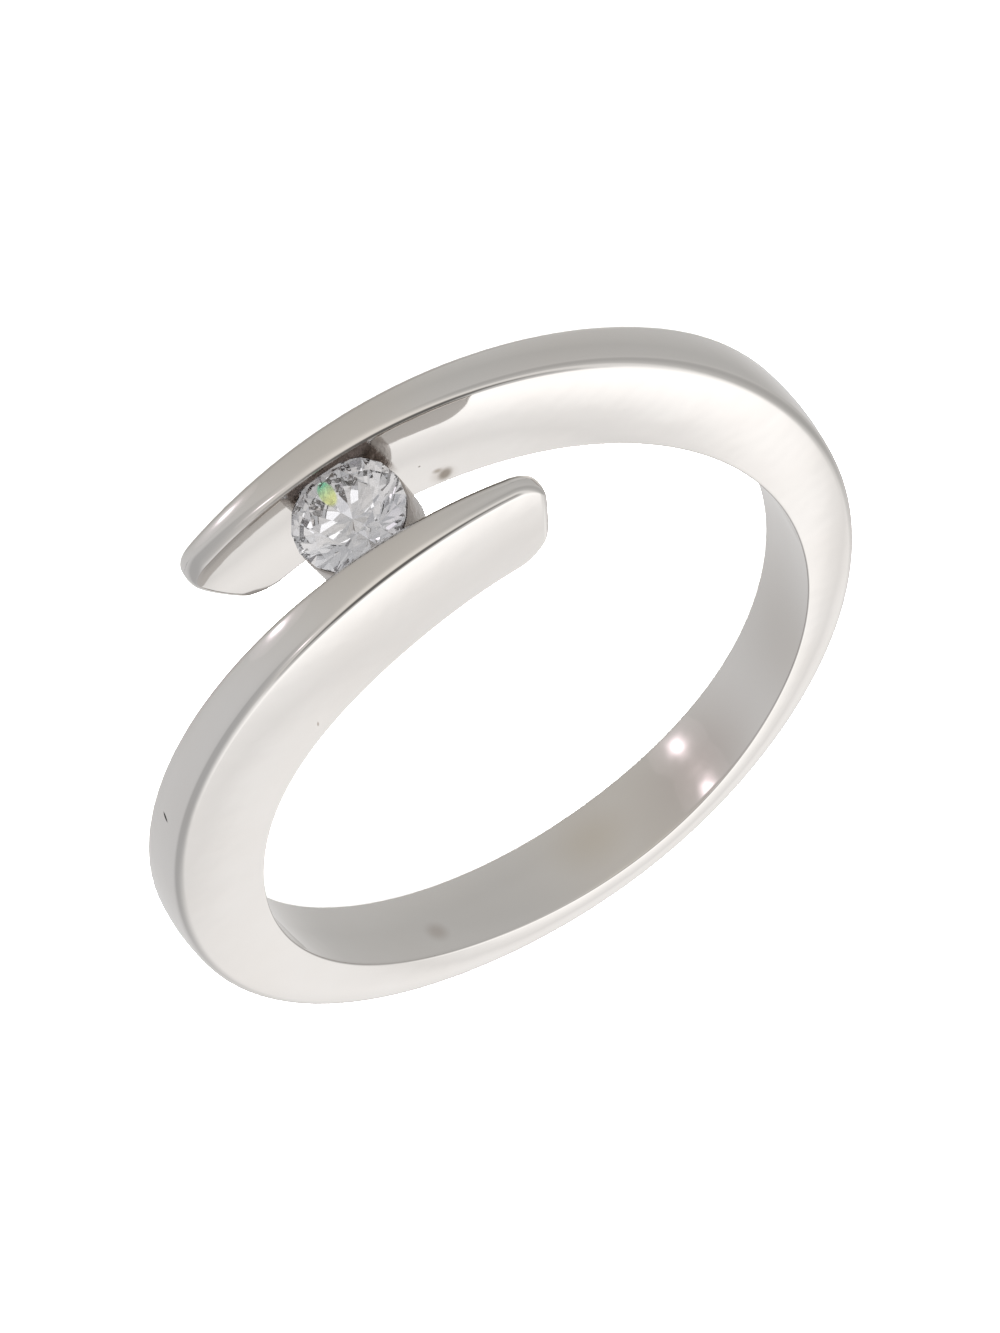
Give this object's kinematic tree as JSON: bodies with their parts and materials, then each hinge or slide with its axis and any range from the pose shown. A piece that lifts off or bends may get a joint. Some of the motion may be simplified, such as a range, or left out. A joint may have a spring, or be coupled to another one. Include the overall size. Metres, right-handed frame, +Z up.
{
  "type": "crossover ring",
  "caption": "Polished white metal crossover finger ring: one tapering strip whose two free arms pass each other and hold a round cut clear stone in a small cup between them.",
  "frame": {"origin": "on the surface that the ring lies on, under the middle of its box", "axes": "+Z up from that surface, -Y to the front where the stone is, +X to the right seen from the front"},
  "size_m": [0.0214, 0.0216, 0.0054],
  "materials": {
    "band": "mirror polished, rhodium-plated silver",
    "stone": "polished facets"
  },
  "bodies": {
    "root": {"band": "band", "stone": "stone"}
  },
  "joints": []
}
